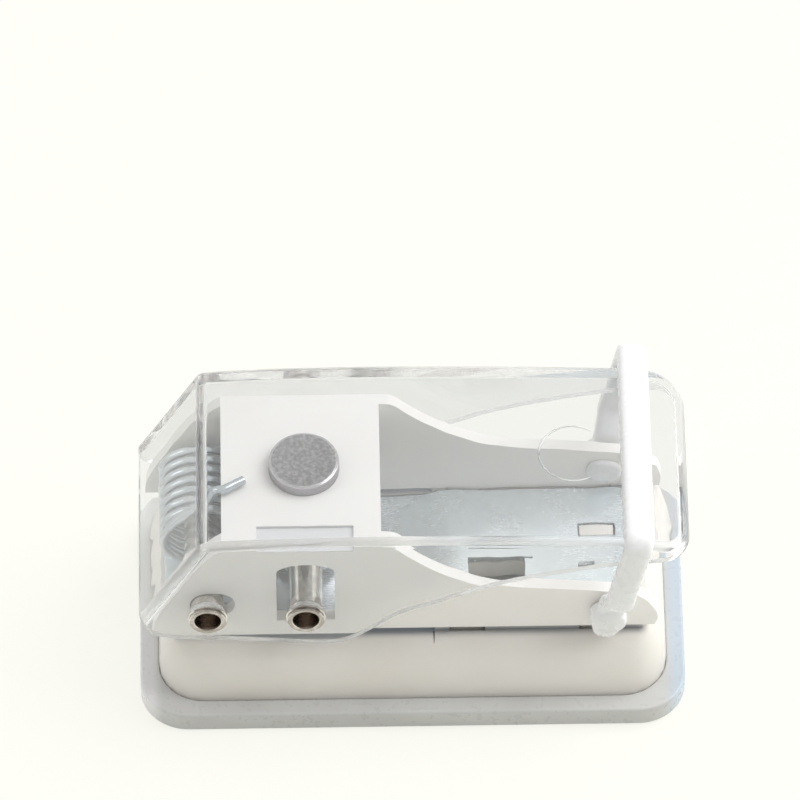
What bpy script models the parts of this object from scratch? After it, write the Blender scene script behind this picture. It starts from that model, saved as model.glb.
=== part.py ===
"""Desktop single hole punch: a clear moulded lever, pivoted on a tubular pin in a moulded frame, drives a
punch through a plated bed. A torsion spring lifts the lever, a frosted bail holds it down, and a soft tray
under the hollow base keeps the chips. It is modelled closed and locked. Lengths are in metres."""

import math

import bmesh
import bpy
from mathutils import Vector

# The origin is the middle of the underside. +X is the lever's free end, +Y the far side and +Z is up.

# Clearances
SEAT_GAP = 0.0003
PIN_SLIP = 0.0002
OVERRUN = 0.004

# Chip tray
TRAY_LENGTH = 0.101
TRAY_WIDTH = 0.052
TRAY_HEIGHT = 0.0044
TRAY_CORNER = 0.009
TRAY_FLOOR = 0.0012
TRAY_TAPER = 0.0003
TRAY_EDGE = 0.0005

# Base shell
BASE_LENGTH = 0.094
BASE_WIDTH = 0.0446
BASE_HEIGHT = 0.0155
BASE_CORNER = 0.0085
BASE_WALL = 0.0018
BASE_SKIRT = 0.0031
BASE_END_DRAW = 0.0034
BASE_SIDE_DRAW = 0.0050
PAD_HEIGHT = 0.0015
PAD_INSET = 0.0001
PAD_EDGE = 0.0003
PAD_CORNER = 0.003
STEP_X = 0.004
PEG_LENGTH = 0.006
PEG_WIDTH = 0.0025
PEG_X = 0.0343
PEG_Y = 0.00465

# Bed plate
BED_THICKNESS = 0.0015
BED_WIDTH = 0.0286
BED_LEFT = -0.0445
BED_RIGHT = 0.0415
JOGGLE_RUN = 0.003
WINDOW_X = 0.0165
WINDOW_Y = -0.003
WINDOW_LENGTH = 0.0118
WINDOW_WIDTH = 0.006
HOOK_DROP = 0.0012
HOOK_TOE = 0.0015
NOTCH_X = 0.0325
NOTCH_Y = -0.00225
NOTCH_LENGTH = 0.003
NOTCH_WIDTH = 0.0022
DIE_CLEARANCE = 0.0003

# Frame
FRAME_WIDTH = 0.034
FRAME_WALL = 0.0023
FRAME_HEIGHT = 0.0257
FRAME_LEFT = -0.048
RAIL_OVERHANG = 0.0093
PLATE_LEFT = -0.0349
PLATE_RIGHT = -0.0058
PLATE_THICKNESS = 0.003
RAIL_HEIGHT = 0.0102
PORT_WIDTH = 0.0107
PORT_SILL = 0.0042
PORT_HEADROOM = 0.0018
PORT_ARCH = 0.0024
RECESS_LENGTH = 0.0177
RECESS_WIDTH = 0.0037
RECESS_DEPTH = 0.0006
TAB_LENGTH = 0.006
TAB_INSET = 0.0008
TAB_BARB = 0.0006
TAB_BARB_HEIGHT = 0.0017
TAB_REAR_X = 0.010
TAB_SETBACK = 0.0019

# Guide plate
GUIDE_THICKNESS = 0.0015
GUIDE_LENGTH = 0.0155
GUIDE_REBATE = 0.0008

# Pins and washers
PIVOT_X = -0.0377
DRIVE_X = -0.0197
PIN_RISE = 0.0092
PIN_DIAMETER = 0.0061
PIN_BORE = 0.0052
PIN_LIP = 0.00035
PIN_LIP_THICKNESS = 0.0004
WASHER_DIAMETER = 0.0074
WASHER_THICKNESS = 0.0005
SLOT_LENGTH = 0.0083
SLOT_SHIFT = 0.0009

# Punch
PUNCH_DIAMETER = 0.0129
PUNCH_TOP_ROOM = 0.0023
PUNCH_SHOULDER = 0.0054
PUNCH_CHAMFER = 0.0003
CUTTER_DIAMETER = 0.006
CUTTER_DEPTH = 0.0018
CUTTER_NOTCH = 0.0012
GUIDE_HOLE_CLEARANCE = 0.00025

# Lever shell
LEVER_LENGTH = 0.1013
LEVER_REAR = -0.0508
LEVER_WIDTH = 0.0415
LEVER_WALL = 0.002
LEVER_CREASE_X = -0.0389
LEVER_REAR_DROP = 0.002
LEVER_CROWN_X = -0.013
LEVER_CROWN_RISE = 0.0011
LEVER_FALL = 0.0014
LEVER_FALL_RUN = 0.0508
LEVER_EDGE = 0.0012
LEVER_NOSE_CORNER = 0.006
LEVER_REAR_CORNER = 0.0016
LEVER_DROP = 0.0087
LEVER_RISE = 0.0145
LEVER_REACH = 0.0885

# Torsion spring
WIRE_DIAMETER = 0.0017
COIL_DIAMETER = 0.0155
COIL_TURNS = 7
COIL_EXIT = math.radians(120)
COIL_PITCH = 0.0023
FOOT_RUN = 0.0062
LONG_LEG_REACH = 0.0038
LONG_LEG_LEAN = 0.002
LONG_LEG_RETURN = 0.0022

# Catch bail
CATCH_SETBACK = 0.0146
CATCH_RISE = 0.0049
CATCH_LEAN = math.radians(10.7)
CATCH_REACH = 0.0253
CATCH_ROOM = 0.0003
CATCH_BAR_THICKNESS = 0.0035
CATCH_BAR_WIDTH = 0.0056
CATCH_LEG_THICKNESS = 0.003
CATCH_LEG_WIDTH = 0.0052
CATCH_SIDE_ROOM = 0.00035
CATCH_BEND = 0.002
CATCH_BOSS_DIAMETER = 0.0067
CATCH_BOSS_LENGTH = 0.0031
CATCH_STUB_DIAMETER = 0.0034
CATCH_EDGE = 0.0008

# Facets
CORNER_STEPS = 5
BULGE_STEPS = 7
ARCH_STEPS = 10
BEND_STEPS = 6
CURVE_STEPS = 3
POINTS_A_TURN = 10
GAP_SAMPLES = 6
ROUND_SIDES = 32
BORE_SIDES = 40
SMALL_SIDES = 24
SHADE_ANGLE = math.radians(32)

# Heights and places that follow from the sizes
BASE_BOTTOM = TRAY_FLOOR + SEAT_GAP
BASE_TOP = BASE_BOTTOM + BASE_HEIGHT
PAD_TOP = BASE_TOP + PAD_HEIGHT
BED_LOW = BASE_TOP - BED_THICKNESS
CEILING = BED_LOW - SEAT_GAP - BASE_WALL
FRAME_BOTTOM = PAD_TOP + SEAT_GAP
FRAME_TOP = FRAME_BOTTOM + FRAME_HEIGHT
PIN_Z = FRAME_BOTTOM + PIN_RISE
INNER_HALF = FRAME_WIDTH / 2 - FRAME_WALL
LEVER_CREASE_Z = FRAME_TOP + WIRE_DIAMETER + SEAT_GAP + LEVER_WALL
LEVER_CROWN_Z = LEVER_CREASE_Z + LEVER_CROWN_RISE
LEVER_CREASE_DEPTH = LEVER_CREASE_Z - PIN_Z + LEVER_REAR_DROP
LEVER_NOSE = LEVER_REAR + LEVER_LENGTH
CATCH_X = LEVER_NOSE - CATCH_SETBACK
CATCH_Z = FRAME_BOTTOM + CATCH_RISE
FRAME_RIGHT = CATCH_X + RAIL_OVERHANG
TAB_FRONT_X = CATCH_X - TAB_SETBACK
COIL_RADIUS = (COIL_DIAMETER - WIRE_DIAMETER) / 2


# Modelling helpers

def clear_scene():
    for item in list(bpy.data.objects):
        bpy.data.objects.remove(item, do_unlink=True)


def make_material(name, colour, roughness, metallic=0.0, transmission=0.0, alpha=1.0):
    made = bpy.data.materials.new(name)
    made.use_nodes = True
    shader = made.node_tree.nodes["Principled BSDF"]
    shader.inputs["Base Color"].default_value = (*colour, 1.0)
    shader.inputs["Roughness"].default_value = roughness
    shader.inputs["Metallic"].default_value = metallic
    shader.inputs["Transmission Weight"].default_value = transmission
    shader.inputs["Alpha"].default_value = alpha
    made.diffuse_color = (*colour, alpha)
    return made


def make_pivot(name, place):
    """An empty on a joint's axis, which carries the pieces that move with it"""
    pivot = bpy.data.objects.new(name, None)
    pivot.location = place
    bpy.context.collection.objects.link(pivot)
    return pivot


def make_object(name, bm, material=None, pivot=None):
    """A mesh object from a bmesh in world places, hung on its pivot where it has one"""
    bmesh.ops.recalc_face_normals(bm, faces=bm.faces)
    if pivot:
        bmesh.ops.translate(bm, vec=-pivot.location, verts=bm.verts)
    mesh = bpy.data.meshes.new(name)
    bm.to_mesh(mesh)
    bm.free()
    made = bpy.data.objects.new(name, mesh)
    bpy.context.collection.objects.link(made)
    if material:
        mesh.materials.append(material)
    if pivot:
        made.parent = pivot
    mesh.shade_smooth()
    mesh.set_sharp_from_angle(angle=SHADE_ANGLE)
    return made


def boolean(target, other, operation):
    """A Boolean modifier whose second shape is a hidden helper"""
    step = target.modifiers.new(other.name, "BOOLEAN")
    step.operation = operation
    step.solver = "EXACT"
    step.object = other
    other.hide_render = True
    other.display_type = "WIRE"


def cut(target, name, bm):
    boolean(target, make_object(name, bm), "DIFFERENCE")


def join(target, name, bm):
    boolean(target, make_object(name, bm), "UNION")


def loft(loops, strips=False):
    """A closed solid through loops of equally many points. Strips across close ends that aren't flat."""
    bm = bmesh.new()
    rings = [[bm.verts.new(point) for point in loop] for loop in loops]
    count = len(rings[0])
    for lower, upper in zip(rings, rings[1:]):
        for i in range(count):
            j = (i + 1) % count
            bm.faces.new((lower[i], lower[j], upper[j], upper[i]))
    for ring in (rings[0], rings[-1]):
        if strips:
            for i in range(count // 2 - 1):
                bm.faces.new((ring[i], ring[i + 1], ring[count - 2 - i], ring[count - 1 - i]))
        else:
            bm.faces.new(ring)
    return bm


def box(x0, x1, y0, y1, z0, z1):
    corners = ((x0, y0), (x1, y0), (x1, y1), (x0, y1))
    return loft([[(x, y, z) for x, y in corners] for z in (z0, z1)])


def prism(outline, half_width):
    """An outline in X and Z, as wide as twice half_width and centred on Y = 0"""
    return loft([[(x, y, z) for x, z in outline] for y in (-half_width, half_width)])


def circle(radius, sides):
    turns = [2 * math.pi * (i + 0.5) / sides for i in range(sides)]
    return [(radius * math.cos(turn), radius * math.sin(turn)) for turn in turns]


def rod_y(x, z, radius, y0, y1, sides=ROUND_SIDES):
    return loft([[(x + a, y, z + b) for a, b in circle(radius, sides)] for y in (y0, y1)])


def rod_z(x, y, levels, sides=ROUND_SIDES):
    """A turned solid about an upright axis, from its (height, radius) levels"""
    return loft([[(x + a, y + b, z) for a, b in circle(radius, sides)] for z, radius in levels])


def tube_y(x, z, profile, sides=ROUND_SIDES):
    """A ring turned about a crosswise axis, from its closed (place, radius) profile"""
    bm = bmesh.new()
    rings = []
    for y, radius in profile:
        rings.append([bm.verts.new((x + a, y, z + b)) for a, b in circle(radius, sides)])
    for ring, following in zip(rings, rings[1:] + rings[:1]):
        for i in range(sides):
            j = (i + 1) % sides
            bm.faces.new((ring[i], ring[j], following[j], following[i]))
    return bm


def half_loop(x0, x1, half_width, corner0, corner1, stations=()):
    """The +Y half of a rounded rectangle, from its left end to its right end"""
    angles = [math.pi / 2 * i / CORNER_STEPS for i in range(CORNER_STEPS + 1)]
    start = [(x0 + corner0 * (1 - math.cos(a)), half_width - corner0 * (1 - math.sin(a))) for a in angles]
    end = [(x1 - corner1 * (1 - math.sin(a)), half_width - corner1 * (1 - math.cos(a))) for a in angles]
    return start + [(x, half_width) for x in stations] + end


def full_loop(half, height):
    """Both halves of a plan loop, each point at the height that its X gives"""
    upper = [(x, y, height(x)) for x, y in half]
    return upper + [(x, -y, z) for x, y, z in reversed(upper)]


def plan_loop(half_length, half_width, corner, z):
    return full_loop(half_loop(-half_length, half_length, half_width, corner, corner), lambda x: z)


def smooth_curve(points, steps):
    """A Catmull-Rom curve through the points"""
    padded = [points[0] * 2 - points[1], *points, points[-1] * 2 - points[-2]]
    curve = []
    for a, b, c, d in zip(padded, padded[1:], padded[2:], padded[3:]):
        for i in range(steps):
            t = i / steps
            part = (c - a) * t + (a * 2 - b * 5 + c * 4 - d) * t ** 2 + (b * 3 - a - c * 3 + d) * t ** 3
            curve.append(b + part / 2)
    return curve + [points[-1]]


# Tray and base

def build_tray(material, pivot):
    half_length, half_width = TRAY_LENGTH / 2, TRAY_WIDTH / 2
    taper_shares = ((0.0, 1.0), (0.3, 0.45), (0.6, 0.12), (0.85, 0.0))
    loops = []
    for height_share, taper_share in taper_shares:
        inset = TRAY_TAPER * taper_share
        z = TRAY_HEIGHT * height_share
        loops.append(plan_loop(half_length - inset, half_width - inset, TRAY_CORNER - inset, z))
    rim = TRAY_CORNER - TRAY_EDGE
    loops.append(plan_loop(half_length - TRAY_EDGE, half_width - TRAY_EDGE, rim, TRAY_HEIGHT))
    tray = make_object("chip_tray", loft(loops), material, pivot)
    pocket = [
        plan_loop(BASE_LENGTH / 2 + SEAT_GAP, BASE_WIDTH / 2 + SEAT_GAP, BASE_CORNER + SEAT_GAP, z)
        for z in (TRAY_FLOOR, TRAY_HEIGHT + OVERRUN)
    ]
    cut(tray, "tray_pocket", loft(pocket))


def base_levels(inset, top):
    """Loops up the drawn-in side of the base, offset inwards and stopped at a height"""
    loops = []
    skirt_top = BASE_BOTTOM + BASE_SKIRT
    bulge = BASE_TOP - skirt_top
    swing = math.asin(min((top - skirt_top) / bulge, 1.0))
    for i in range(-1, BULGE_STEPS + 1):
        angle = max(i, 0) / BULGE_STEPS * swing
        z = BASE_BOTTOM if i < 0 else skirt_top + bulge * math.sin(angle)
        end = inset + BASE_END_DRAW * (1 - math.cos(angle))
        side = inset + BASE_SIDE_DRAW * (1 - math.cos(angle))
        corner = max(BASE_CORNER - side, BASE_WALL)
        loops.append(plan_loop(BASE_LENGTH / 2 - end, BASE_WIDTH / 2 - side, corner, z))
    return loops


def build_base(material):
    base = make_object("base_shell", loft(base_levels(0.0, BASE_TOP)), material)
    pad_half = FRAME_WIDTH / 2 - PAD_INSET
    pad_right = BED_RIGHT + SEAT_GAP + BASE_WALL
    foot = half_loop(STEP_X, pad_right, pad_half, 2 * PAD_EDGE, PAD_CORNER)
    top = half_loop(STEP_X, pad_right - PAD_EDGE, pad_half - PAD_EDGE, 2 * PAD_EDGE, PAD_CORNER - PAD_EDGE)
    pad = [
        full_loop(foot, lambda x: CEILING), full_loop(foot, lambda x: PAD_TOP - PAD_EDGE),
        full_loop(top, lambda x: PAD_TOP),
    ]
    join(base, "base_pad", loft(pad))
    inner = base_levels(BASE_WALL, CEILING)
    inner[0] = [(x, y, z - OVERRUN) for x, y, z in inner[0]]
    cut(base, "base_hollow", loft(inner))
    bed_half = BED_WIDTH / 2 + SEAT_GAP
    low = BED_LOW - SEAT_GAP
    bed_seat = [
        (BED_LEFT - OVERRUN, PAD_TOP + OVERRUN),
        (BED_LEFT - OVERRUN, low),
        (STEP_X + JOGGLE_RUN, low),
        (STEP_X + JOGGLE_RUN, BASE_TOP),
        (BED_RIGHT + SEAT_GAP, BASE_TOP),
        (BED_RIGHT + SEAT_GAP, PAD_TOP + OVERRUN),
    ]
    cut(base, "bed_seat", prism(bed_seat, bed_half))
    join(base, "base_peg", box(
        PEG_X - PEG_LENGTH / 2, PEG_X + PEG_LENGTH / 2, PEG_Y - PEG_WIDTH / 2, PEG_Y + PEG_WIDTH / 2,
        CEILING, BASE_TOP + BED_THICKNESS,
    ))
    reach = PAD_TOP + OVERRUN
    chip_hole = CUTTER_DIAMETER / 2 + BASE_WALL / 2
    levels = ((CEILING - OVERRUN, chip_hole), (reach, chip_hole))
    cut(base, "chip_hole", rod_z(DRIVE_X, 0.0, levels, SMALL_SIDES))
    left, right, near, far = window_edges()
    cut(base, "hook_hole", box(left, right + HOOK_TOE, near, far, CEILING - OVERRUN, reach))
    for x in (TAB_REAR_X, TAB_FRONT_X):
        for side in (-1, 1):
            inner_y = side * (INNER_HALF - SEAT_GAP)
            outer_y = side * (FRAME_WIDTH / 2 - TAB_INSET + SEAT_GAP)
            cut(base, "tab_slot", box(
                x - TAB_LENGTH / 2 - SEAT_GAP, x + TAB_LENGTH / 2 + SEAT_GAP,
                min(inner_y, outer_y), max(inner_y, outer_y), CEILING - OVERRUN, reach,
            ))


# Bed plate

def window_edges():
    return (
        WINDOW_X - WINDOW_LENGTH / 2, WINDOW_X + WINDOW_LENGTH / 2,
        WINDOW_Y - WINDOW_WIDTH / 2, WINDOW_Y + WINDOW_WIDTH / 2,
    )


def build_bed(material):
    rise = BED_THICKNESS + SEAT_GAP
    low, high = BASE_TOP, BASE_TOP + rise
    step = STEP_X - JOGGLE_RUN / 2
    top = [(BED_LEFT, low), (step, low), (step + JOGGLE_RUN, high), (BED_RIGHT, high)]
    underside = [(x, z - BED_THICKNESS) for x, z in reversed(top)]
    bed = make_object("bed_plate", prism(top + underside, BED_WIDTH / 2), material)
    die = CUTTER_DIAMETER / 2 + DIE_CLEARANCE
    cut(bed, "die_hole", rod_z(DRIVE_X, 0.0, ((BED_LOW - OVERRUN, die), (high, die))))
    left, right, near, far = window_edges()
    cut(bed, "bed_window", box(left, right, near, far, low - OVERRUN, high + OVERRUN))
    hook_near, hook_far = near + SEAT_GAP, far - SEAT_GAP
    hook_low, hook_high = CEILING - HOOK_DROP, CEILING - SEAT_GAP
    under = high - BED_THICKNESS
    inside, outside = right - BED_THICKNESS, right - SEAT_GAP
    toe, root = right + HOOK_TOE - SEAT_GAP, right + SEAT_GAP
    hook = [
        (inside, high), (inside, hook_low), (toe, hook_low), (toe, hook_high),
        (outside, hook_high), (outside, under), (root, under), (root, high),
    ]
    bent = loft([[(x, y, z) for x, z in hook] for y in (hook_near, hook_far)])
    join(bed, "bed_hook", bent)
    cut(bed, "bed_notch", box(
        NOTCH_X - NOTCH_LENGTH / 2, NOTCH_X + NOTCH_LENGTH / 2, NOTCH_Y - NOTCH_WIDTH / 2,
        NOTCH_Y + NOTCH_WIDTH / 2, low - OVERRUN, high + OVERRUN,
    ))
    peg_x, peg_y = PEG_LENGTH / 2 + SEAT_GAP, PEG_WIDTH / 2 + SEAT_GAP
    cut(bed, "peg_hole", box(
        PEG_X - peg_x, PEG_X + peg_x, PEG_Y - peg_y, PEG_Y + peg_y, low - OVERRUN, high + OVERRUN,
    ))


# Frame and guide plate

def frame_outline():
    """The side wall, from its lower left corner round by the top plate and down the rail"""
    rear_shares = ((0.0, 0.0), (0.03, 0.14), (0.29, 0.44), (0.85, 0.93), (1.0, 1.0))
    rear_run = PLATE_LEFT - FRAME_LEFT
    rear = [(FRAME_LEFT + rear_run * a, FRAME_BOTTOM + FRAME_HEIGHT * b) for a, b in rear_shares]
    slope_shares = ((0.0, 1.0), (0.05, 0.97), (0.09, 0.84), (0.20, 0.52), (0.29, 0.34), (0.38, 0.19),
                    (0.46, 0.12))
    slope_run = FRAME_RIGHT - PLATE_RIGHT
    slope_fall = FRAME_HEIGHT - RAIL_HEIGHT
    slope = [
        (PLATE_RIGHT + slope_run * a, FRAME_BOTTOM + RAIL_HEIGHT + slope_fall * b) for a, b in slope_shares
    ]
    rail_shares = ((0.82, 1.0), (0.93, 0.85), (0.98, 0.72), (1.0, 0.55), (1.0, 0.1), (0.99, 0.0))
    rail = [(PLATE_RIGHT + slope_run * a, FRAME_BOTTOM + RAIL_HEIGHT * b) for a, b in rail_shares]
    return rear + slope + rail


def port_outline():
    """The arched port in each wall that the drive pin passes through"""
    half = PORT_WIDTH / 2
    sill = FRAME_BOTTOM + PORT_SILL
    spring = FRAME_TOP - PLATE_THICKNESS - PORT_HEADROOM - PORT_ARCH
    arch = [math.pi * i / ARCH_STEPS for i in range(ARCH_STEPS + 1)]
    return [
        (DRIVE_X - half, sill), (DRIVE_X + half, sill),
        *[(DRIVE_X + half * math.cos(a), spring + PORT_ARCH * math.sin(a)) for a in arch],
    ]


def slot_outline():
    """The long hole that the pivot pin lies in"""
    radius = PIN_DIAMETER / 2 + SEAT_GAP
    half = SLOT_LENGTH / 2 - radius
    outline = []
    for end, start in ((1, -math.pi / 2), (-1, math.pi / 2)):
        for i in range(ARCH_STEPS + 1):
            angle = start + math.pi * i / ARCH_STEPS
            x = PIVOT_X + SLOT_SHIFT + end * half + radius * math.cos(angle)
            outline.append((x, PIN_Z + radius * math.sin(angle)))
    return outline


def build_frame(material):
    half = FRAME_WIDTH / 2
    frame = make_object("frame", prism(frame_outline(), half), material)
    room = FRAME_TOP + OVERRUN
    under_plate = FRAME_TOP - PLATE_THICKNESS
    cavity = [
        (FRAME_LEFT - OVERRUN, FRAME_BOTTOM - OVERRUN), (FRAME_RIGHT + OVERRUN, FRAME_BOTTOM - OVERRUN),
        (FRAME_RIGHT + OVERRUN, room), (PLATE_RIGHT, room), (PLATE_RIGHT, under_plate),
        (PLATE_LEFT, under_plate), (PLATE_LEFT, room), (FRAME_LEFT - OVERRUN, room),
    ]
    cut(frame, "frame_cavity", prism(cavity, INNER_HALF))
    cut(frame, "drive_ports", prism(port_outline(), half + OVERRUN))
    cut(frame, "pivot_slots", prism(slot_outline(), half + OVERRUN))
    bore = PUNCH_DIAMETER / 2 + GUIDE_HOLE_CLEARANCE
    levels = ((under_plate - OVERRUN, bore), (room, bore))
    cut(frame, "punch_bore", rod_z(DRIVE_X, 0.0, levels, BORE_SIDES))
    stub = CATCH_STUB_DIAMETER / 2 + SEAT_GAP
    cut(frame, "catch_holes", rod_y(CATCH_X, CATCH_Z, stub, -half - OVERRUN, half + OVERRUN, SMALL_SIDES))
    guide_half = GUIDE_LENGTH / 2 + SEAT_GAP
    cut(frame, "guide_rebate", box(
        DRIVE_X - guide_half, DRIVE_X + guide_half, -INNER_HALF - GUIDE_REBATE, INNER_HALF + GUIDE_REBATE,
        FRAME_BOTTOM - OVERRUN, FRAME_BOTTOM + GUIDE_THICKNESS + SEAT_GAP,
    ))
    for side in (-1, 1):
        outer, inner = side * (half + OVERRUN), side * (half - RECESS_WIDTH)
        cut(frame, "plate_recess", box(
            DRIVE_X - RECESS_LENGTH / 2, DRIVE_X + RECESS_LENGTH / 2, min(outer, inner), max(outer, inner),
            FRAME_TOP - RECESS_DEPTH, room,
        ))
        for x in (TAB_REAR_X, TAB_FRONT_X):
            join(frame, "frame_tab", frame_tab(x, side))


def frame_tab(x, side):
    """A tab under the rail, through the base, with a barb below its ceiling"""
    inner, outer = INNER_HALF, FRAME_WIDTH / 2 - TAB_INSET
    barb_top = CEILING - SEAT_GAP
    root, foot = FRAME_BOTTOM + FRAME_WALL, barb_top - TAB_BARB_HEIGHT
    outline = [
        (inner, root), (inner, foot), (outer, foot),
        (outer + TAB_BARB, barb_top), (outer, barb_top), (outer, root),
    ]
    ends = (x - TAB_LENGTH / 2, x + TAB_LENGTH / 2)
    return loft([[(end, side * y, z) for y, z in outline] for end in ends])


def build_guide(material):
    half = INNER_HALF + GUIDE_REBATE - SEAT_GAP
    guide = make_object("guide_plate", box(
        DRIVE_X - GUIDE_LENGTH / 2, DRIVE_X + GUIDE_LENGTH / 2, -half, half,
        FRAME_BOTTOM, FRAME_BOTTOM + GUIDE_THICKNESS,
    ), material)
    hole = CUTTER_DIAMETER / 2 + DIE_CLEARANCE
    levels = ((FRAME_BOTTOM - OVERRUN, hole), (FRAME_BOTTOM + GUIDE_THICKNESS + OVERRUN, hole))
    cut(guide, "guide_hole", rod_z(DRIVE_X, 0.0, levels))


# Lever and what is carried on it

def lever_top(x):
    """Height of the lever's crowned top, drawn down at the nose to clear the swinging bail"""
    if x < LEVER_CROWN_X:
        share = (LEVER_CROWN_X - x) / (LEVER_CROWN_X - LEVER_CREASE_X)
        crown = LEVER_CROWN_Z - LEVER_CROWN_RISE * share ** 2
    else:
        crown = LEVER_CROWN_Z - LEVER_FALL * ((x - LEVER_CROWN_X) / LEVER_FALL_RUN) ** 2
    if x < CATCH_X:
        return crown
    swing = CATCH_REACH - CATCH_ROOM
    return min(crown, CATCH_Z + math.sqrt(swing ** 2 - (x - CATCH_X) ** 2))


def lever_block(inset, bottom):
    """The lever's outer form, or with an inset the hollow inside it, closed at a height below"""
    slant = (LEVER_CREASE_X - LEVER_REAR) / LEVER_CREASE_DEPTH
    side = LEVER_WIDTH / 2 - inset
    slant_inset = inset * math.hypot(1.0, slant)
    right = LEVER_NOSE - inset
    edge = max(LEVER_EDGE - inset, LEVER_EDGE / 3)
    corner0 = LEVER_REAR_CORNER if inset else LEVER_REAR_CORNER + LEVER_EDGE
    corner1 = LEVER_NOSE_CORNER - inset
    station_shares = (0.12, 0.24, 0.36, 0.48, 0.6, 0.7, 0.78, 0.84, 0.88, 0.91)
    loops = []
    for angle in (-math.pi / 2, 0.0, math.pi / 6, math.pi / 3, math.pi / 2):
        draw = edge * (1 - math.cos(max(angle, 0.0)))
        fall = inset + edge * (1 - math.sin(max(angle, 0.0)))

        def height(x, angle=angle, fall=fall):
            return bottom if angle < 0 else lever_top(min(x, LEVER_NOSE)) - fall

        left = LEVER_CREASE_X + slant_inset + draw
        left -= slant * (LEVER_CREASE_Z - height(left))
        stations = [left + (right - left) * share for share in station_shares]
        half = half_loop(left, right - draw, side - draw, corner0 - draw, corner1 - draw, stations)
        loops.append(full_loop(half, height))
    return loft(loops, strips=True)


def lever_underside():
    """Everything below the lever's lower edge, which dips round the pins and rises to the nose"""
    low_shares = ((-0.135, 0.13), (-0.118, 0.56), (-0.075, 0.74), (0.02, 0.80), (0.15, 0.93), (0.25, 1.0),
                  (0.285, 0.92), (0.335, 0.54), (0.397, 0.0))
    high_shares = ((0.464, 0.19), (0.56, 0.476), (0.632, 0.641), (0.753, 0.834), (0.849, 0.952), (0.93, 1.0))
    points = [Vector((PIVOT_X + LEVER_REACH * a, PIN_Z - LEVER_DROP * b)) for a, b in low_shares]
    points += [Vector((PIVOT_X + LEVER_REACH * a, PIN_Z + LEVER_RISE * b)) for a, b in high_shares]
    edge = [(point.x, point.y) for point in smooth_curve(points, CURVE_STEPS)]
    right = LEVER_NOSE + OVERRUN
    bottom = BASE_BOTTOM
    left = LEVER_REAR - LEVER_CREASE_DEPTH
    return [(left, bottom), (left, edge[0][1]), *edge, (right, edge[-1][1]), (right, bottom)]


def build_lever(material, pivot):
    lever = make_object("lever_shell", lever_block(0.0, BASE_TOP), material, pivot)
    cut(lever, "lever_hollow", lever_block(LEVER_WALL, BASE_TOP - OVERRUN))
    cut(lever, "lever_underside", prism(lever_underside(), LEVER_WIDTH / 2 + OVERRUN))
    reach = LEVER_WIDTH / 2 + OVERRUN
    for x in (PIVOT_X, DRIVE_X):
        cut(lever, "pin_hole", rod_y(x, PIN_Z, PIN_DIAMETER / 2 + PIN_SLIP, -reach, reach))


def build_pin(name, x, material, pivot):
    """A tubular pin with its ends rolled over the washers"""
    shaft, bore = PIN_DIAMETER / 2, PIN_BORE / 2
    lip_inner = LEVER_WIDTH / 2 + WASHER_THICKNESS + 2 * PIN_SLIP
    lip_outer = lip_inner + PIN_LIP_THICKNESS
    roll = PIN_LIP_THICKNESS / 4
    side = [
        (lip_inner, shaft), (lip_inner, shaft + PIN_LIP - roll), (lip_inner + roll, shaft + PIN_LIP),
        (lip_outer - roll, shaft + PIN_LIP), (lip_outer, shaft + PIN_LIP - roll), (lip_outer, bore + roll),
        (lip_outer - roll, bore),
    ]
    profile = side + [(-y, radius) for y, radius in reversed(side)]
    make_object(name, tube_y(x, PIN_Z, profile), material, pivot)


def build_washer(name, x, side, material, pivot):
    inner = LEVER_WIDTH / 2 + PIN_SLIP
    outer = inner + WASHER_THICKNESS
    bore, rim = PIN_DIAMETER / 2 + PIN_SLIP, WASHER_DIAMETER / 2
    edge = WASHER_THICKNESS / 4
    profile = [(inner, bore), (inner, rim), (outer - edge, rim), (outer, rim - edge), (outer, bore)]
    make_object(name, tube_y(x, PIN_Z, [(side * y, radius) for y, radius in profile]), material, pivot)


def build_punch(material, pivot):
    body, cutter = PUNCH_DIAMETER / 2, CUTTER_DIAMETER / 2
    top = FRAME_TOP + PUNCH_TOP_ROOM
    shoulder = PIN_Z - PUNCH_SHOULDER
    tip = BASE_TOP - CUTTER_DEPTH
    levels = (
        (top, body - PUNCH_CHAMFER), (top - PUNCH_CHAMFER, body), (shoulder + PUNCH_CHAMFER, body),
        (shoulder, body - PUNCH_CHAMFER), (shoulder, cutter), (tip, cutter),
    )
    punch = make_object("punch", rod_z(DRIVE_X, 0.0, levels, BORE_SIDES), material, pivot)
    reach = body + OVERRUN
    cut(punch, "punch_cross_hole", rod_y(DRIVE_X, PIN_Z, PIN_DIAMETER / 2 + SEAT_GAP, -reach, reach))
    half, low = cutter + SEAT_GAP, tip - CUTTER_NOTCH / 4
    notch = [(DRIVE_X - half, low), (DRIVE_X + half, low), (DRIVE_X, tip + CUTTER_NOTCH)]
    cut(punch, "cutter_notch", prism(notch, body))


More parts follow.
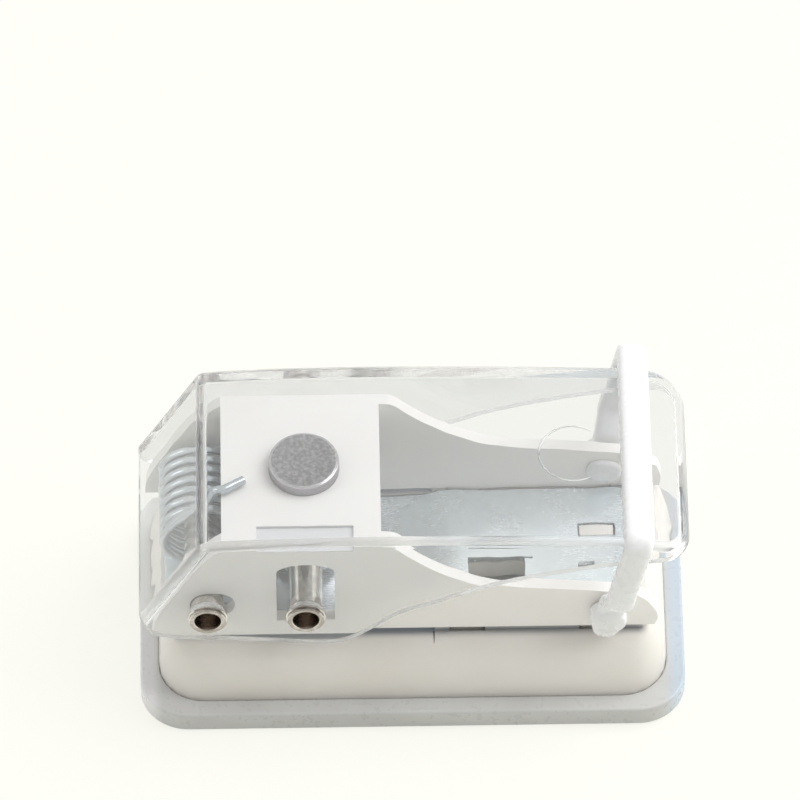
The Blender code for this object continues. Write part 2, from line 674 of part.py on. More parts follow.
def spring_route():
    """The wire's centre line: the short leg on the bed, the coil, then the long leg up over the plate"""
    wire = WIRE_DIAMETER
    clear = wire / 2 + SEAT_GAP
    far_y = INNER_HALF - wire / 2 - 2 * SEAT_GAP
    foot_z = BASE_TOP + clear
    coil_low = PIN_Z - COIL_RADIUS
    foot = [Vector((PIVOT_X + FOOT_RUN, far_y, foot_z))]
    foot_shares = ((0.75, 0.3), (0.4, 0.9), (0.0, 1.0))
    for run_share, rise_share in foot_shares:
        z = foot_z + (coil_low - foot_z) * rise_share
        foot.append(Vector((PIVOT_X + FOOT_RUN * run_share, far_y, z)))
    points = [foot[0] + Vector((wire, 0.0, 0.0)), *smooth_curve(foot, CURVE_STEPS)[:-1]]
    total = COIL_TURNS * 2 * math.pi + COIL_EXIT
    count = round(total / (2 * math.pi) * POINTS_A_TURN)
    for i in range(count + 1):
        angle = total * i / count
        x = PIVOT_X - COIL_RADIUS * math.sin(angle)
        z = PIN_Z - COIL_RADIUS * math.cos(angle)
        points.append(Vector((x, far_y - COIL_PITCH * angle / (2 * math.pi), z)))
    leave = points[-1]
    leg_y = leave.y - LONG_LEG_LEAN
    round_corner_shares = ((-2.35, -2.17), (-1.22, 0.09), (-0.52, 0.95), (0.43, 1.06))
    leg = [leave, leave + Vector((-math.cos(COIL_EXIT), 0.0, math.sin(COIL_EXIT))) * wire]
    for x_share, z_share in round_corner_shares:
        leg.append(Vector((PLATE_LEFT + clear * x_share, leg_y, FRAME_TOP + clear * z_share)))
    tip = leg[-1] + Vector((LONG_LEG_REACH, LONG_LEG_RETURN, 0.0))
    leg.append(leg[-1].lerp(tip, 0.5))
    return points + smooth_curve(leg, CURVE_STEPS)[1:] + [tip]


def build_spring(material):
    points = spring_route()
    curve = bpy.data.curves.new("torsion_spring", "CURVE")
    curve.dimensions = "3D"
    curve.bevel_depth = WIRE_DIAMETER / 2
    curve.bevel_resolution = 1
    curve.use_fill_caps = True
    spline = curve.splines.new("POLY")
    spline.points.add(len(points) - 1)
    for node, point in zip(spline.points, points):
        node.co = (*point, 1.0)
    curve.materials.append(material)
    spring = bpy.data.objects.new("torsion_spring", curve)
    bpy.context.collection.objects.link(spring)


# Catch bail

def bail_ring(along, y, turn, width, thickness):
    """A rounded bar section. along runs up the leg, and turn is the path's lean towards the crosswise bar."""
    up = Vector((math.sin(CATCH_LEAN), 0.0, math.cos(CATCH_LEAN)))
    across = Vector((math.cos(CATCH_LEAN), 0.0, -math.sin(CATCH_LEAN)))
    outward = Vector((0.0, math.cos(turn), 0.0)) + up * math.sin(turn)
    centre = Vector((CATCH_X, y, CATCH_Z)) + up * along
    half_width, half_thick, edge = width / 2, thickness / 2, CATCH_EDGE
    ring = []
    for a, b, start in ((1, 1, 0), (-1, 1, 1), (-1, -1, 2), (1, -1, 3)):
        for i in range(3):
            angle = math.pi / 2 * (start + i / 2)
            s = a * (half_width - edge) + edge * math.cos(angle)
            t = b * (half_thick - edge) + edge * math.sin(angle)
            ring.append(centre + across * s + outward * t)
    return ring


def build_catch(material, pivot):
    inner = LEVER_WIDTH / 2 + CATCH_SIDE_ROOM
    leg_y = inner + CATCH_LEG_THICKNESS / 2
    foot_y = FRAME_WIDTH / 2 + SEAT_GAP + CATCH_BOSS_LENGTH / 2
    bar = CATCH_REACH + CATCH_BAR_THICKNESS / 2
    tip_share, heel_share, flare_start_share, flare_end_share = -0.66, -0.4, 0.6, 1.5
    tip_width_share, tip_thickness_share = 0.7, 0.8
    tip, heel, flare_start, flare_end = [
        CATCH_BOSS_DIAMETER * share for share in (tip_share, heel_share, flare_start_share, flare_end_share)
    ]
    side = [(tip, foot_y, 0.0, CATCH_LEG_WIDTH * tip_width_share, CATCH_LEG_THICKNESS * tip_thickness_share)]
    side.append((heel, foot_y, 0.0, CATCH_LEG_WIDTH, CATCH_LEG_THICKNESS))
    lean = math.atan2(leg_y - foot_y, flare_end - flare_start)
    flare_shares = (0.0, 0.25, 0.5, 0.75, 1.0)
    for share in flare_shares:
        ease = share * share * (3 - 2 * share)
        tilt = -lean * math.sin(math.pi * share)
        along = flare_start + (flare_end - flare_start) * share
        side.append((along, foot_y + (leg_y - foot_y) * ease, tilt, CATCH_LEG_WIDTH, CATCH_LEG_THICKNESS))
    for i in range(BEND_STEPS + 1):
        share = i / BEND_STEPS
        angle = math.pi / 2 * share
        along = bar - CATCH_BEND * (1 - math.sin(angle))
        y = leg_y - CATCH_BEND * (1 - math.cos(angle))
        width = CATCH_LEG_WIDTH + (CATCH_BAR_WIDTH - CATCH_LEG_WIDTH) * share
        thickness = CATCH_LEG_THICKNESS + (CATCH_BAR_THICKNESS - CATCH_LEG_THICKNESS) * share
        side.append((along, y, angle, width, thickness))
    other = [
        (along, -y, math.pi - turn, width, thickness)
        for along, y, turn, width, thickness in reversed(side)
    ]
    bail = make_object("catch_bail", loft([bail_ring(*station) for station in side + other]), material, pivot)
    for end in (-1, 1):
        face = FRAME_WIDTH / 2 + SEAT_GAP
        boss = sorted((end * face, end * (face + CATCH_BOSS_LENGTH)))
        join(bail, "catch_boss", rod_y(CATCH_X, CATCH_Z, CATCH_BOSS_DIAMETER / 2, *boss, SMALL_SIDES))
        stub = sorted((end * (INNER_HALF + SEAT_GAP), end * (face + CATCH_BOSS_LENGTH / 2)))
        join(bail, "catch_stub", rod_y(CATCH_X, CATCH_Z, CATCH_STUB_DIAMETER / 2, *stub, SMALL_SIDES))


def least_gap(points, wire):
    """Least free space between the spring's own stretches, measured on points along its centre line"""
    fine = []
    for a, b in zip(points, points[1:]):
        for i in range(GAP_SAMPLES):
            fine.append(a.lerp(b, i / GAP_SAMPLES))
    travelled = [0.0]
    for a, b in zip(fine, fine[1:]):
        travelled.append(travelled[-1] + (b - a).length)
    least = math.inf
    for i, a in enumerate(fine):
        for j in range(i + 1, len(fine)):
            if travelled[j] - travelled[i] > math.pi * wire:
                least = min(least, (a - fine[j]).length - wire)
    return least


def main():
    clear_scene()
    clear_plastic = make_material("clear_plastic", (0.95, 0.96, 0.96), 0.05, transmission=0.9, alpha=0.35)
    frosted_plastic = make_material("frosted_plastic", (0.93, 0.93, 0.93), 0.35, transmission=0.5, alpha=0.8)
    milky_plastic = make_material("milky_plastic", (0.86, 0.87, 0.88), 0.4, transmission=0.4, alpha=0.85)
    white_plastic = make_material("white_plastic", (0.88, 0.86, 0.82), 0.45)
    cream_plastic = make_material("cream_plastic", (0.86, 0.84, 0.79), 0.5)
    plated_steel = make_material("plated_steel", (0.72, 0.75, 0.77), 0.3, metallic=1.0)
    nickel = make_material("nickel", (0.80, 0.78, 0.75), 0.18, metallic=1.0)
    spring_wire = make_material("spring_wire", (0.70, 0.73, 0.75), 0.25, metallic=1.0)
    punch_steel = make_material("punch_steel", (0.42, 0.42, 0.43), 0.5, metallic=1.0)

    lever_pivot = make_pivot("lever_pivot", (PIVOT_X, 0.0, PIN_Z))
    punch_pivot = make_pivot("punch_pivot", (DRIVE_X, 0.0, PIN_Z))
    catch_pivot = make_pivot("catch_pivot", (CATCH_X, 0.0, CATCH_Z))
    tray_pivot = make_pivot("tray_pivot", (0.0, 0.0, 0.0))

    build_tray(milky_plastic, tray_pivot)
    build_base(white_plastic)
    build_bed(plated_steel)
    build_frame(cream_plastic)
    build_guide(plated_steel)
    build_lever(clear_plastic, lever_pivot)
    for name, x in (("pivot", PIVOT_X), ("drive", DRIVE_X)):
        build_pin(f"{name}_pin", x, nickel, lever_pivot)
        for end, side in (("front", -1), ("back", 1)):
            build_washer(f"{name}_washer_{end}", x, side, nickel, lever_pivot)
    build_punch(punch_steel, punch_pivot)
    build_spring(spring_wire)
    build_catch(frosted_plastic, catch_pivot)
    print(f"least gap of the spring to itself: {least_gap(spring_route(), WIRE_DIAMETER) * 1000:.2f} mm")


main()
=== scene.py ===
import math

import bmesh
import bpy
from mathutils import Matrix, Vector


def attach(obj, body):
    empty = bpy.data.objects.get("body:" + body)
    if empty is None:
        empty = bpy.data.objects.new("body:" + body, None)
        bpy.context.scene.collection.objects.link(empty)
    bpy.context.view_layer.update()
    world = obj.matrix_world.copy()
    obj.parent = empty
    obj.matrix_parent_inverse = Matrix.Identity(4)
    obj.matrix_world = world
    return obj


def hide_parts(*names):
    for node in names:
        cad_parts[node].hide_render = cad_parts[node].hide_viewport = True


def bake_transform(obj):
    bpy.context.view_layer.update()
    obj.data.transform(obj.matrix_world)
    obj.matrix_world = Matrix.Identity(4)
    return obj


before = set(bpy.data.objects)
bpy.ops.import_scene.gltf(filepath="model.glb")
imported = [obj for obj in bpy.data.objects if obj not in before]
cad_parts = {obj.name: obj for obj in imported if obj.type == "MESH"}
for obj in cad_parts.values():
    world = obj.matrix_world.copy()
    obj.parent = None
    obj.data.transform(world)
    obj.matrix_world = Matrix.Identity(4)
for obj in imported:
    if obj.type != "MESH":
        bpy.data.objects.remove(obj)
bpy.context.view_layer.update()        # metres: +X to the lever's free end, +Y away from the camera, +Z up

print("frame loaded")


# small tools for meshes, with their limits in metres and degrees

meshing = {
    "weld": 2e-6, "fineWeld": 1e-6, "coarseWeld": 1e-5, "flat": 0.4, "sharp": 32, "soften": 35,
    "upright": 0.001, "through": 0.06, "curveSteps": 12, "fineSides": 96,
}


def makePiece(name, bm):
    # the bmesh becomes an object at the origin, smooth except at its real edges
    mesh = bpy.data.meshes.new(name)
    bm.to_mesh(mesh)
    bm.free()
    mesh.shade_smooth()
    mesh.set_sharp_from_angle(angle=math.radians(meshing["sharp"]))
    piece = bpy.data.objects.new(name, mesh)
    bpy.context.scene.collection.objects.link(piece)
    return piece


def bakeModifiers(piece):
    seen = piece.evaluated_get(bpy.context.evaluated_depsgraph_get())
    mesh = bpy.data.meshes.new_from_object(seen)
    piece.modifiers.clear()
    piece.data = mesh


def carve(piece, tool, operation="DIFFERENCE"):
    step = piece.modifiers.new("carve", "BOOLEAN")
    step.operation, step.solver, step.object = operation, "EXACT", tool
    bakeModifiers(piece)
    bpy.data.objects.remove(tool)


def weld(bm, closeUp=True):
    # merges points that lie together, and closes flat faces up again
    bmesh.ops.remove_doubles(bm, verts=bm.verts, dist=meshing["weld"])
    if closeUp:
        flat = math.radians(meshing["flat"])
        bmesh.ops.dissolve_limit(bm, angle_limit=flat, verts=bm.verts, edges=bm.edges)


def tidyMesh(piece, angle=meshing["sharp"], closeUp=True):
    # mends what the cuts left and sets the shading
    bm = bmesh.new()
    bm.from_mesh(piece.data)
    weld(bm, closeUp)
    bmesh.ops.recalc_face_normals(bm, faces=bm.faces)
    bm.to_mesh(piece.data)
    bm.free()
    piece.data.shade_smooth()
    piece.data.set_sharp_from_angle(angle=math.radians(angle))


def softenEdges(piece, width, segments=2):
    step = piece.modifiers.new("softened edges", "BEVEL")
    step.width, step.segments = width, segments
    step.limit_method, step.angle_limit = "ANGLE", math.radians(meshing["soften"])
    step.harden_normals = True


def evenNormals(piece):
    step = piece.modifiers.new("even normals", "WEIGHTED_NORMAL")
    step.keep_sharp = True


def nodeCopy(node, name):
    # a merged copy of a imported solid, ready for finer edges
    bm = bmesh.new()
    bm.from_mesh(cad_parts[node].data)
    weld(bm)
    piece = makePiece(name, bm)
    if "custom_normal" in piece.data.attributes:
        piece.data.attributes.remove(piece.data.attributes["custom_normal"])
    return piece


def rod(name, centre, radius, length, axis="Y", sides=48):
    bm = bmesh.new()
    bmesh.ops.create_cone(bm, cap_ends=True, segments=sides, radius1=radius, radius2=radius, depth=length)
    if axis == "Y":
        bmesh.ops.rotate(bm, verts=bm.verts, matrix=Matrix.Rotation(math.radians(90), 3, "X"))
    bmesh.ops.translate(bm, verts=bm.verts, vec=centre)
    return makePiece(name, bm)


def cuboid(low, high):
    bm = bmesh.new()
    bmesh.ops.create_cube(bm, size=1.0)
    bmesh.ops.scale(bm, verts=bm.verts, vec=high - low)
    bmesh.ops.translate(bm, verts=bm.verts, vec=(high + low) / 2)
    return bm


def block(name, low, high):
    # a plain cutter or rib between two corners, in millimetres
    return makePiece(name, cuboid(Vector(low) / 1000, Vector(high) / 1000))


def upright(edge):
    return abs(edge.verts[0].co.z - edge.verts[1].co.z) > meshing["upright"]


def whole(bm):
    return bm.verts[:] + bm.edges[:] + bm.faces[:]


def only(kind, items):
    return [item for item in items if isinstance(item, kind)]


def curveMesh(name, curve):
    # the surface of a curve, merged
    shape = bpy.data.objects.new(name, curve)
    bpy.context.scene.collection.objects.link(shape)
    bpy.context.view_layer.update()
    bm = bmesh.new()
    bm.from_mesh(shape.to_mesh())
    bpy.data.objects.remove(shape)
    bmesh.ops.remove_doubles(bm, verts=bm.verts, dist=meshing["fineWeld"])
    return bm


def slab(name, points, halfWidth, smooth=()):
    # an outline in X and Z in millimetres, smooth at the points named, and halfWidth metres to each side
    outline = bpy.data.curves.new(name, "CURVE")
    outline.dimensions, outline.fill_mode, outline.extrude = "2D", "BOTH", halfWidth
    outline.resolution_u = meshing["curveSteps"]
    line = outline.splines.new("BEZIER")
    line.bezier_points.add(len(points) - 1)
    line.use_cyclic_u = True
    for i, (point, (x, z)) in enumerate(zip(line.bezier_points, points)):
        point.co = (x / 1000, z / 1000, 0)
        point.handle_left_type = point.handle_right_type = "AUTO" if i in smooth else "VECTOR"
    bm = curveMesh(name, outline)
    bmesh.ops.rotate(bm, verts=bm.verts, matrix=Matrix.Rotation(math.radians(90), 3, "X"))
    bmesh.ops.recalc_face_normals(bm, faces=bm.faces)
    return makePiece(name, bm)


def turned(name, profile, centre, axis="Y", steps=72):
    # a turned piece, from its (place along the axis, radius) points; a first point off the axis makes a ring
    bm = bmesh.new()
    across = Vector((0, 0, 1)) if axis == "Y" else Vector((1, 0, 0))
    along = Vector((0, 1, 0)) if axis == "Y" else Vector((0, 0, 1))
    points = [bm.verts.new(Vector(centre) + along * place + across * radius) for place, radius in profile]
    for first, second in zip(points, points[1:]):
        bm.edges.new((first, second))
    if profile[0][1] > 0:
        bm.edges.new((points[-1], points[0]))
    bmesh.ops.spin(bm, geom=bm.verts[:] + bm.edges[:], cent=centre, axis=along, dvec=(0, 0, 0),
                   angle=math.tau, steps=steps, use_merge=True)
    bmesh.ops.remove_doubles(bm, verts=bm.verts, dist=meshing["fineWeld"])
    bmesh.ops.recalc_face_normals(bm, faces=bm.faces)
    return makePiece(name, bm)


def dress(piece, finish, body, slot, *nodes):
    piece.data.materials.clear()
    piece.data.materials.append(finish)
    if nodes:
        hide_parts(*nodes)
    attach(piece, body)


# small tools for materials

class Wire:
    # a socket that can be added, multiplied and so on: each sum becomes a Math node
    def __init__(self, tree, socket):
        self.tree, self.socket = tree, socket

    def sum(self, operation, *parts):
        made = self.tree.nodes.new("ShaderNodeMath")
        made.operation = operation
        for slot, part in zip(made.inputs, parts):
            if isinstance(part, Wire):
                self.tree.links.new(part.socket, slot)
            else:
                slot.default_value = part
        return Wire(self.tree, made.outputs[0])

    def __add__(self, other):
        return self.sum("ADD", self, other)

    def __radd__(self, other):
        return self.sum("ADD", other, self)

    def __sub__(self, other):
        return self.sum("SUBTRACT", self, other)

    def __rsub__(self, other):
        return self.sum("SUBTRACT", other, self)

    def __mul__(self, other):
        return self.sum("MULTIPLY", self, other)

    def __rmul__(self, other):
        return self.sum("MULTIPLY", other, self)

    def __pow__(self, other):
        return self.sum("POWER", self, other)

    def __abs__(self):
        return self.sum("ABSOLUTE", self)

    def also(self, name):
        return Wire(self.tree, self.socket.node.outputs[name])


class Finish:
    # one material, built node by node
    def __init__(self, holder):
        holder.use_nodes = True
        self.holder, self.tree = holder, holder.node_tree
        self.tree.nodes.clear()

    def node(self, kind, settings=None, sockets=None, output=0):
        made = self.tree.nodes.new("ShaderNode" + kind)
        for name, value in (settings or {}).items():
            setattr(made, name, value)
        for name, value in (sockets or {}).items():
            slot = made.inputs[name]
            if isinstance(value, Wire):
                self.tree.links.new(value.socket, slot)
            elif slot.type == "RGBA" and len(value) == 3:
                slot.default_value = (*value, 1.0)
            else:
                slot.default_value = value
        return Wire(self.tree, made.outputs[output]) if len(made.outputs) else None

    def at(self, stretch=(1, 1, 1), centre=(0, 0, 0)):
        # Object coordinates from a centre, stretched
        here = self.node("TexCoord", output="Object")
        moved = self.node("VectorMath", {"operation": "SUBTRACT"}, {0: here, 1: centre})
        return self.node("VectorMath", {"operation": "MULTIPLY"}, {0: moved, 1: stretch})

    def noise(self, scale, detail=2.0, rough=0.5, stretch=(1, 1, 1)):
        return self.node("TexNoise", {}, {
            "Vector": self.at(stretch), "Scale": scale, "Detail": detail, "Roughness": rough})

    def between(self, value, low, high, start=0.0, end=1.0):
        # a value from low to high, spread smoothly over start to end
        return self.node("MapRange", {"interpolation_type": "SMOOTHSTEP"}, {
            "Value": value, "From Min": low, "From Max": high, "To Min": start, "To Max": end})

    def blend(self, share, first, second):
        return self.node("Mix", {"data_type": "RGBA"}, {0: share, 6: first, 7: second}, output=2)

    def bump(self, height, distance, strength):
        return self.node("Bump", {}, {"Height": height, "Distance": distance, "Strength": strength})

    def surface(self, **sockets):
        return self.node("BsdfPrincipled", {}, {name.replace("_", " "): v for name, v in sockets.items()})

    def mixShader(self, share, first, second):
        return self.node("MixShader", {}, {0: share, 1: first, 2: second})

    def path(self, name):
        return self.node("LightPath", output=name)

    def letLampsIn(self, shader, tint):
        # lamps and bounced light go straight through a clear wall
        clear = self.node("BsdfTransparent", {}, {"Color": tint})
        bounced = self.mixShader(self.path("Is Diffuse Ray"), shader, clear)
        return self.mixShader(self.path("Is Shadow Ray"), bounced, clear)

    def done(self, shader, kind="OutputMaterial"):
        self.node(kind, {}, {"Surface": shader})
        return self.holder


def newFinish(name):
    return Finish(bpy.data.materials.new(name))


# the stage: a pale floor, a soft studio all round, three lamps and the camera

stage = {
    "pale": (0.992, 0.992, 0.925), "floorGlow": 0.8, "floorSize": 4.0, "floorDrop": 0.0002,
    "aim": (-0.0021, 0.0, 0.0652), "distance": 1.8296, "azimuth": -1.0, "elevation": 52.0, "lens": 453.3,
    "tint": (1.0, 1.0, 0.99), "ceiling": 0.83, "horizon": 0.45, "front": 0.20,
    "rise": (-0.1, 0.9), "turn": (-0.9, 0.3),      # from and to, upwards and towards the back
    "lampAim": (0, 0, 0.02),
}
lamps = {   # place, size and power
    "key lamp": ((0.70, 0.20, 1.00), (0.90, 0.90), 9.6),
    "side lamp": ((0.95, -0.10, 0.30), (0.45, 0.60), 1.2),
    "streak lamp": ((-0.95, -0.15, 0.50), (0.12, 0.60), 1.4),
}


def buildFloor():
    bm = bmesh.new()
    bmesh.ops.create_grid(bm, x_segments=2, y_segments=2, size=stage["floorSize"] / 2)
    bmesh.ops.translate(bm, verts=bm.verts, vec=(0, 0, -stage["floorDrop"]))
    floor = makePiece("floor", bm)
    paper = newFinish("paper")
    seen = paper.path("Is Camera Ray") + paper.path("Is Glossy Ray") + paper.path("Is Transmission Ray")
    matte = paper.node("BsdfDiffuse", {}, {"Color": stage["pale"]})
    glow = paper.node("Emission", {}, {"Color": stage["pale"], "Strength": 1.0})
    floor.data.materials.append(paper.done(paper.mixShader(seen * stage["floorGlow"], matte, glow)))


def buildStudio():
    world = bpy.data.worlds.new("studio")
    bpy.context.scene.world = world
    air = Finish(world)
    towards = air.node("TexCoord", output="Generated")
    parts = air.node("SeparateXYZ", {}, {0: towards})
    up, back = parts.also("Z"), parts.also("Y")
    light = air.between(up, *stage["rise"], stage["horizon"], stage["ceiling"])
    light = light * air.between(back, *stage["turn"], stage["front"] / stage["horizon"], 1.0)
    seen = air.path("Is Camera Ray") + air.path("Is Transmission Ray")
    soft = air.node("Background", {}, {"Color": stage["tint"], "Strength": light})
    pale = air.node("Background", {}, {"Color": stage["pale"], "Strength": 1.0})
    air.done(air.mixShader(seen, soft, pale), "OutputWorld")


def buildLamp(name, place, size, power):
    data = bpy.data.lights.new(name, "AREA")
    data.shape, data.size, data.size_y, data.energy = "RECTANGLE", *size, power
    lamp = bpy.data.objects.new(name, data)
    lamp.location = place
    lamp.rotation_euler = (Vector(stage["lampAim"]) - Vector(place)).to_track_quat("-Z", "Y").to_euler()
    bpy.context.scene.collection.objects.link(lamp)


def buildCamera():
    data = bpy.data.cameras.new("camera")
    data.lens, data.sensor_width, data.clip_start, data.clip_end = stage["lens"], 36.0, 0.05, 20.0
    camera = bpy.data.objects.new("camera", data)
    azimuth, elevation = math.radians(stage["azimuth"]), math.radians(stage["elevation"])
    away = Vector((math.sin(azimuth) * math.cos(elevation), -math.cos(azimuth) * math.cos(elevation),
                   math.sin(elevation)))
    camera.location = Vector(stage["aim"]) + away * stage["distance"]
    camera.rotation_euler = (-away).to_track_quat("-Z", "Y").to_euler()
    bpy.context.scene.collection.objects.link(camera)
    bpy.context.scene.camera = camera


buildFloor()
buildStudio()
for name, values in lamps.items():
    buildLamp(name, *values)
buildCamera()
bpy.context.scene.view_settings.view_transform = "Standard"
bounces = bpy.context.scene.cycles      # light inside the clear walls needs many turns
bounces.max_bounces, bounces.glossy_bounces, bounces.transmission_bounces = 32, 14, 26
bounces.transparent_max_bounces = 24
print("stage built")


# the finishes

def clearPlastic():
    made = newFinish("clear plastic")
    swirl = made.noise(70, 2.0)
    haze = made.noise(420, 3.0, 0.6, (1, 3, 1))
    rims = made.node("Attribute", {"attribute_name": "haze"}, output="Fac")
    surface = made.surface(
        Base_Color=made.blend(rims, (0.905, 0.908, 0.916), (0.985, 0.985, 0.995)),
        Roughness=made.between(haze, 0.35, 0.8, 0.01, 0.05) + rims * 0.3,
        Transmission_Weight=0.96, IOR=1.49, Normal=made.bump(swirl, 0.0006, 0.25))
    return made.done(made.letLampsIn(surface, (0.94, 0.945, 0.95)))


def frostedPlastic():
    made = newFinish("frosted plastic")
    grain = made.noise(500, 2.0)
    cloud = made.noise(120, 2.0)
    surface = made.surface(
        Base_Color=made.blend(cloud, (0.855, 0.855, 0.86), (0.895, 0.895, 0.90)),
        Roughness=made.between(grain, 0.2, 0.8, 0.22, 0.34), IOR=1.46,
        Subsurface_Weight=0.25, Subsurface_Radius=(0.002, 0.002, 0.002), Subsurface_Scale=1.0)
    return made.done(surface)


# the blue towards the free end is painted light
milky = {"litEnd": (0.046, 0.0492), "pale": (-0.0485, -0.046)}      # from and to along X


def milkyPlastic():
    # greyer over its middle, pale at its rear, and a painted cool blue light towards its free end
    made = newFinish("milky plastic")
    grain = made.noise(700, 2.0)
    cloud = made.noise(90, 2.0)
    spot = made.node("SeparateXYZ", {}, {0: made.at()})
    litEnd, pale = made.between(spot, *milky["litEnd"]), made.between(spot, *milky["pale"], 1.0, 0.0)
    tone = made.blend(made.between(cloud, 0.3, 0.7), (0.57, 0.57, 0.555), (0.62, 0.62, 0.605))
    tone = made.blend(pale, tone, (0.80, 0.795, 0.80))
    surface = made.surface(
        Base_Color=made.blend(litEnd, tone, (0.53, 0.60, 0.67)),
        Roughness=made.between(grain, 0.2, 0.8, 0.24, 0.38), IOR=1.48,
        Subsurface_Weight=0.1, Subsurface_Radius=(0.002, 0.002, 0.002), Subsurface_Scale=1.0)
    return made.done(surface)


paintedShades = {
    # places of painted shade, one for each satin finish
    # middle in X and Z, half length, near and far Y and half height, softness,
    # the X from which it is fainter, how faint there, and how strong on the far side
    # painted shadow on the base under each rail: full left of X 3.8 mm, where the paper slot leaves a gap,
    # and fainter beyond
    "white": ((-0.002, 0.0175), (0.0445, 0.0148, 0.0171, 0.0012), 0.0010, (0.0038, 0.75, 1.0)),
    # painted shade on the floor of the plate's recess, on the near side only
    "cream": ((-0.0197, 0.044), (0.0089, 0.0132, 0.0172, 0.0003), 0.00005, (0.0, 1.0, 0.0)),
    "fadeX": 0.0006, "fadeY": 0.001,
}


def paintedShadeMask(made, spot, part):
    # 1 where shade is painted, by the long side, with soft edges
    (x, z), (halfX, nearY, farY, halfZ), soft, (turnX, faint, far) = part
    side, reachX, reachZ = abs(spot.also("Y")), abs(spot - x), abs(spot.also("Z") - z)
    inX = made.between(reachX, halfX - soft, halfX + soft, 1.0, 0.0)
    inZ = made.between(reachZ, halfZ - soft / 2, halfZ + soft / 2, 1.0, 0.0)
    pastNear = made.between(side, nearY - soft, nearY + soft)
    beforeFar = made.between(side, farY - soft, farY + soft, 1.0, 0.0)
    alongX = made.between(spot, turnX, turnX + paintedShades["fadeX"], 1.0, faint)
    acrossY = made.between(spot.also("Y"), -paintedShades["fadeY"], paintedShades["fadeY"], 1.0, far)
    return inX * inZ * pastNear * beforeFar * alongX * acrossY


def satinPlastic(name, light, dark, roughness, shade, part):
    # a moulded plastic with one darker place of painted shade
    made = newFinish(name)
    grain = made.noise(1400, 2.0)
    cloud = made.noise(45, 3.0)
    spot = made.node("SeparateXYZ", {}, {0: made.at()})
    plain = made.blend(made.between(cloud, 0.35, 0.65), dark, light)
    surface = made.surface(
        Base_Color=made.blend(paintedShadeMask(made, spot, part), plain, shade),
        Roughness=made.between(grain, 0.25, 0.75, roughness - 0.05, roughness + 0.07), IOR=1.5,
        Subsurface_Weight=0.12, Subsurface_Radius=(0.003, 0.003, 0.0025), Subsurface_Scale=1.0,
        Normal=made.bump(grain, 0.00005, 0.35))
    return made.done(surface)


def platedSteel(name, light, dark, roughness, stretch, metal=1.0):
    made = newFinish(name)
    streaks = made.noise(700, 4.0, 0.6, stretch)
    cloud = made.noise(110, 3.0)
    surface = made.surface(
        Base_Color=made.blend(cloud, dark, light), Metallic=metal,
        Roughness=made.between(streaks + cloud, 0.6, 1.4, roughness - 0.04, roughness + 0.06),
        Normal=made.bump(streaks, 0.000004, 0.2))
    return made.done(surface)


def punchSteel():
    # a rough sawn end inside a bright turned rim, and a ground body
    made = newFinish("punch steel")
    pits = made.noise(1300, 4.0, 0.65)
    cloud = made.noise(260, 3.0)
    speck = made.between(pits, 0.42, 0.62)
    spot = made.node("SeparateXYZ", {}, {0: made.at(centre=(punch["x"], 0, punch["top"]))})
    across = (spot * spot + spot.also("Y") * spot.also("Y")) ** 0.5
    sawn = (made.between(across, punch["sawn"], punch["sawn"] + punch["sawnEdge"], 1.0, 0.0)
            * made.between(spot.also("Z"), *punch["sawnDepth"]))
    rough = made.blend(speck * 0.6 + cloud * 0.4, (0.17, 0.165, 0.172), (0.38, 0.375, 0.382))
    rim = made.between(spot.also("Z"), *punch["rimDepth"])
    bright = made.blend(rim, (0.34, 0.33, 0.35), (0.52, 0.51, 0.53))
    surface = made.surface(
        Base_Color=made.blend(sawn, bright, rough), Metallic=1.0,
        Roughness=made.between(pits, 0.3, 0.7, 0.12, 0.2) + sawn * 0.32,
        Normal=made.bump(pits * sawn, 0.00012, 0.8))
    return made.done(surface)


def nickelPlate():
    # bright outside, duller on the rolled ends, brown and rough down the bores
    made = newFinish("nickel")
    streaks = made.noise(900, 4.0, 0.6, (1, 3, 1))
    dirt = made.noise(420, 4.0, 0.7)
    near = []
    for x in pins["x"]:
        spot = made.node("SeparateXYZ", {}, {0: made.at(centre=(x, 0, pins["z"]))})
        near.append((spot * spot + spot.also("Z") * spot.also("Z")) ** 0.5)
    inside = made.between(near[0].sum("MINIMUM", *near), *pins["bore"], 1.0, 0.0)
    plain = made.blend(made.between(dirt, 0.35, 0.7), (0.86, 0.84, 0.81), (0.60, 0.56, 0.52))
    worn = made.between(abs(spot.also("Y")), *pins["worn"]) * made.between(dirt, 0.3, 0.6, 0.5, 1.0)
    plain = made.blend(worn, plain, (0.40, 0.36, 0.32))
    surface = made.surface(
        Base_Color=made.blend(inside, plain, (0.62, 0.53, 0.47)), Metallic=1.0,
        Roughness=made.between(streaks + dirt, 0.6, 1.4, 0.08, 0.26) + inside * 0.2,
        Normal=made.bump(streaks, 0.00003, 0.4))
    return made.done(surface)


# the pins and the punch, whose finishes follow their shapes
pins = {"x": (-0.0377, -0.0197), "z": 0.028, "bore": (0.00235, 0.00275), "worn": (0.02192, 0.02204)}
punch = {
    "x": -0.0197, "z": 0.028, "top": 0.0468, "shoulder": 0.0226, "tip": 0.0152, "body": 0.00645,
    "cutter": 0.003, "crossHole": 0.00335, "sawn": 0.0058, "sawnEdge": 0.0003,
    "sawnDepth": (-0.0003, -0.0001), "rimDepth": (-0.0005, -0.0001),
    "rim": ((0.00003, 0.0004), (-0.00006, 0.0001), (-0.00035, 0.0)),      # over the top, inside the body
    "chamfer": 0.0003, "fillet": 0.0002, "notch": 0.0046, "notchStretch": (1, 3, 0.5), "notchDrop": 0.0004,
}

